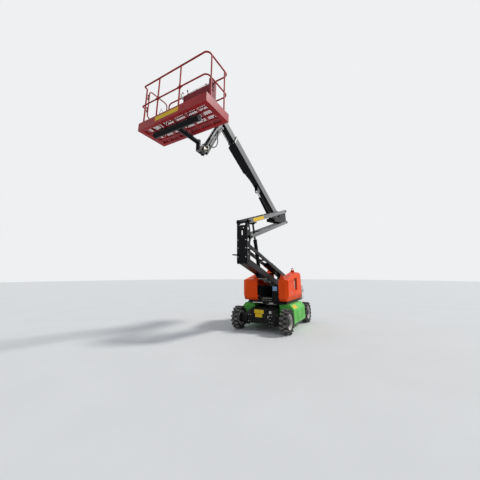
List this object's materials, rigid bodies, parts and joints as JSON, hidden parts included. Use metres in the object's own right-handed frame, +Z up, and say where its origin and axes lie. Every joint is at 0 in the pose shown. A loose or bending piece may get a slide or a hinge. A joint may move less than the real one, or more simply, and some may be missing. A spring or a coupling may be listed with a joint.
{
  "type": "articulating boom lift",
  "caption": "Self-propelled articulating boom lift: four-wheel chassis, slewing turntable with hoods, folding lower and upper arms, telescopic boom, jib and railed platform.",
  "frame": {"origin": "on the floor, under the middle of the machine's box at rest", "axes": "+X forward towards the platform, +Y to the machine's left, +Z up"},
  "size_m": [6.3104, 1.833, 5.7164],
  "materials": {
    "tyre": "matt black rubber",
    "rim": "pale grey paint",
    "black_steel": "semi-gloss black paint",
    "green_paint": "semi-gloss green paint",
    "orange_shell": "moulded orange shell",
    "weight_paint": "pale grey paint",
    "red_paint": "semi-gloss red paint",
    "rod_chrome": "ground chrome",
    "battery_case": "moulded case",
    "machined_steel": "machined steel",
    "floor_mesh": "painted mesh",
    "hose": "black hose",
    "console_case": "moulded case"
  },
  "bodies": {
    "chassis": {"chassis_frame": "black_steel", "side_box_left": "green_paint", "side_box_right": "green_paint", "drive_hub_left": "black_steel", "drive_hub_right": "black_steel", "rear_axle": "black_steel", "slew_ring": "machined_steel"},
    "knuckle_left": {"knuckle_left": "black_steel"},
    "knuckle_right": {"knuckle_right": "black_steel"},
    "tie_rod": {"tie_rod": "black_steel"},
    "steer_barrel": {"steer_cylinder": "black_steel"},
    "steer_rod": {"steer_rod": "rod_chrome"},
    "turntable": {"turntable_deck": "black_steel", "tower": "black_steel", "counterweight": "weight_paint", "hood_post_left": "black_steel", "hood_post_right": "black_steel", "battery_pack": "battery_case", "power_pack": "battery_case", "valve_boxes": "black_steel"},
    "hood_left": {"hood_left": "orange_shell"},
    "hood_right": {"hood_right": "orange_shell"},
    "lower_arm": {"lower_arm": "black_steel"},
    "lower_link": {"lower_link": "black_steel"},
    "riser": {"riser": "black_steel"},
    "upper_arm": {"upper_arm": "black_steel"},
    "upper_link": {"upper_link": "black_steel"},
    "knee": {"knee": "black_steel"},
    "arm_barrel": {"arm_cylinder": "black_steel"},
    "arm_rod": {"arm_rod": "rod_chrome"},
    "boom": {"boom": "black_steel", "cable_tray": "black_steel"},
    "inner_boom": {"inner_boom": "black_steel"},
    "boom_barrel": {"boom_cylinder": "black_steel"},
    "boom_rod": {"boom_rod": "rod_chrome"},
    "boom_head": {"boom_head": "black_steel"},
    "jib": {"jib_arm": "black_steel", "jib_hose": "hose"},
    "jib_link": {"jib_link": "black_steel"},
    "jib_head": {"jib_head": "black_steel"},
    "jib_barrel": {"jib_cylinder": "black_steel"},
    "jib_rod": {"jib_rod": "rod_chrome"},
    "platform": {"platform_support": "black_steel", "platform_frame": "red_paint", "platform_floor": "floor_mesh", "toe_board": "red_paint", "guardrail_front": "red_paint", "guardrail_left": "red_paint", "guardrail_rear": "red_paint", "console": "console_case"},
    "gate": {"gate": "red_paint"},
    "wheel_front_left": {"tyre_front_left": "tyre", "rim_front_left": "rim"},
    "wheel_front_right": {"tyre_front_right": "tyre", "rim_front_right": "rim"},
    "wheel_rear_left": {"tyre_rear_left": "tyre", "rim_rear_left": "rim"},
    "wheel_rear_right": {"tyre_rear_right": "tyre", "rim_rear_right": "rim"}
  },
  "joints": [
    {"name": "steer_left", "type": "hinge", "parent": "chassis", "child": "knuckle_left", "pos_m": [-2.82942, 0.64, 0.324], "axis": [0, 0, 1], "range_deg": [-30, 30]},
    {"name": "steer_right", "type": "hinge", "parent": "chassis", "child": "knuckle_right", "pos_m": [-2.82942, -0.64, 0.324], "axis": [0, 0, 1], "range_deg": [-30.02, 30.02]},
    {"name": "tie_rod_swing", "type": "hinge", "parent": "knuckle_left", "child": "tie_rod", "pos_m": [-2.68942, 0.64, 0.244], "axis": [0, 0, 1], "range_deg": [-30.02, 30.02]},
    {"name": "steer_barrel_swing", "type": "hinge", "parent": "chassis", "child": "steer_barrel", "pos_m": [-2.94942, 0.17, 0.324], "axis": [0, 0, 1], "range_deg": [-0.073, 0.073]},
    {"name": "steer_rod_slide", "type": "slide", "parent": "steer_barrel", "child": "steer_rod", "axis": [0, -1, 0], "range_m": [-0.06156, 0.06156]},
    {"name": "spin_front_left", "type": "hinge", "parent": "chassis", "child": "wheel_front_left", "pos_m": [-0.87042, 0.765, 0.324], "axis": [0, 1, 0], "continuous": true},
    {"name": "spin_front_right", "type": "hinge", "parent": "chassis", "child": "wheel_front_right", "pos_m": [-0.87042, -0.765, 0.324], "axis": [0, 1, 0], "continuous": true},
    {"name": "spin_rear_left", "type": "hinge", "parent": "knuckle_left", "child": "wheel_rear_left", "pos_m": [-2.82942, 0.765, 0.324], "axis": [0, 1, 0], "continuous": true},
    {"name": "spin_rear_right", "type": "hinge", "parent": "knuckle_right", "child": "wheel_rear_right", "pos_m": [-2.82942, -0.765, 0.324], "axis": [0, 1, 0], "continuous": true},
    {"name": "slew", "type": "hinge", "parent": "chassis", "child": "turntable", "pos_m": [-1.84842, 0, 0.725], "axis": [0, 0, 1], "continuous": true},
    {"name": "hood_left_swing", "type": "hinge", "parent": "turntable", "child": "hood_left", "pos_m": [-1.12442, 0.456, 0.93], "axis": [0, 0, -1], "range_deg": [0, 75]},
    {"name": "hood_right_swing", "type": "hinge", "parent": "turntable", "child": "hood_right", "pos_m": [-1.12442, -0.226, 0.93], "axis": [0, 0, 1], "range_deg": [0, 75]},
    {"name": "arms_lift", "type": "hinge", "parent": "turntable", "child": "lower_arm", "pos_m": [-2.79842, 0, 1.043], "axis": [0, -1, 0], "range_deg": [-17, 18]},
    {"name": "lower_link_swing", "type": "hinge", "parent": "turntable", "child": "lower_link", "pos_m": [-2.79842, 0, 1.482], "axis": [0, -1, 0], "range_deg": [-17.02, 18.02]},
    {"name": "riser_swing", "type": "hinge", "parent": "lower_arm", "child": "riser", "pos_m": [0.20151, 0, 1.96017], "axis": [0, -1, 0], "range_deg": [-18.02, 17.02]},
    {"name": "upper_arm_swing", "type": "hinge", "parent": "riser", "child": "upper_arm", "pos_m": [0.20151, 0, 3.04617], "axis": [0, -1, 0], "range_deg": [-18.02, 17.02]},
    {"name": "upper_link_swing", "type": "hinge", "parent": "riser", "child": "upper_link", "pos_m": [0.12551, 0, 2.61217], "axis": [0, -1, 0], "range_deg": [-18.02, 17.02]},
    {"name": "knee_swing", "type": "hinge", "parent": "upper_arm", "child": "knee", "pos_m": [-2.92989, 0, 4.04553], "axis": [0, -1, 0], "range_deg": [-17.02, 18.02]},
    {"name": "arm_barrel_swing", "type": "hinge", "parent": "lower_arm", "child": "arm_barrel", "pos_m": [-0.79627, 0, 1.54009], "axis": [0, -1, 0], "range_deg": [-9.71, 9.17]},
    {"name": "arm_rod_slide", "type": "slide", "parent": "arm_barrel", "child": "arm_rod", "axis": [0.2604, 0, 0.9655], "range_m": [-0.41688, 0.44138]},
    {"name": "boom_lift", "type": "hinge", "parent": "knee", "child": "boom", "pos_m": [-2.39889, 0, 3.67053], "axis": [0, -1, 0], "range_deg": [-15, 48]},
    {"name": "boom_barrel_swing", "type": "hinge", "parent": "knee", "child": "boom_barrel", "pos_m": [-1.84889, 0, 3.49053], "axis": [0, -1, 0], "range_deg": [-16.85, 53.88]},
    {"name": "boom_rod_slide", "type": "slide", "parent": "boom_barrel", "child": "boom_rod", "axis": [0.8309, 0, 0.5564], "range_m": [-0.14051, 0.44854]},
    {"name": "boom_extend", "type": "slide", "parent": "boom", "child": "inner_boom", "axis": [0.891, 0, 0.454], "range_m": [0, 1.2]},
    {"name": "head_level", "type": "hinge", "parent": "inner_boom", "child": "boom_head", "pos_m": [1.39642, 0, 5.53699], "axis": [0, -1, 0], "range_deg": [-48.02, 15.02]},
    {"name": "jib_lift", "type": "hinge", "parent": "boom_head", "child": "jib", "pos_m": [1.46642, 0, 5.43699], "axis": [0, -1, 0], "range_deg": [-6, 126]},
    {"name": "jib_link_swing", "type": "hinge", "parent": "boom_head", "child": "jib_link", "pos_m": [1.46642, 0, 5.28699], "axis": [0, -1, 0], "range_deg": [-6.02, 126.02]},
    {"name": "jib_head_level", "type": "hinge", "parent": "jib", "child": "jib_head", "pos_m": [2.03142, 0, 4.45838], "axis": [0, -1, 0], "range_deg": [-126.02, 6.02]},
    {"name": "jib_barrel_swing", "type": "hinge", "parent": "boom_head", "child": "jib_barrel", "pos_m": [1.46642, 0, 5.28699], "axis": [0, -1, 0], "range_deg": [-6.07, 127]},
    {"name": "jib_rod_slide", "type": "slide", "parent": "jib_barrel", "child": "jib_rod", "axis": [0.5634, 0, -0.8262], "range_m": [-0.01375, 0.27877]},
    {"name": "platform_turn", "type": "hinge", "parent": "jib_head", "child": "platform", "pos_m": [2.26742, 0, 4.42238], "axis": [0, 0, 1], "range_deg": [-90, 90]},
    {"name": "gate_swing", "type": "hinge", "parent": "platform", "child": "gate", "pos_m": [3.01112, -0.8952, 5.32238], "axis": [0, 0, -1], "range_deg": [0, 90]}
  ],
  "couplings": [
    {"joint": "steer_right", "follows": "steer_left", "ratio": 1},
    {"joint": "tie_rod_swing", "follows": "steer_left", "ratio": -1},
    {"joint": "steer_barrel_swing", "follows": "steer_left", "ratio": -0.001779},
    {"joint": "steer_rod_slide", "follows": "steer_left", "m_per_rad": 0.11663},
    {"joint": "lower_link_swing", "follows": "arms_lift", "ratio": 1},
    {"joint": "riser_swing", "follows": "arms_lift", "ratio": -1},
    {"joint": "upper_arm_swing", "follows": "arms_lift", "ratio": -1},
    {"joint": "upper_link_swing", "follows": "arms_lift", "ratio": -1},
    {"joint": "knee_swing", "follows": "arms_lift", "ratio": 1},
    {"joint": "arm_barrel_swing", "follows": "arms_lift", "ratio": -0.53847},
    {"joint": "arm_rod_slide", "follows": "arms_lift", "m_per_rad": 1.4034},
    {"joint": "boom_barrel_swing", "follows": "boom_lift", "ratio": 1.1221},
    {"joint": "boom_rod_slide", "follows": "boom_lift", "m_per_rad": 0.53481},
    {"joint": "head_level", "follows": "boom_lift", "ratio": -1},
    {"joint": "jib_link_swing", "follows": "jib_lift", "ratio": 1},
    {"joint": "jib_head_level", "follows": "jib_lift", "ratio": -1},
    {"joint": "jib_barrel_swing", "follows": "jib_lift", "ratio": 1.0078},
    {"joint": "jib_rod_slide", "follows": "jib_lift", "m_per_rad": 0.12654}
  ]
}
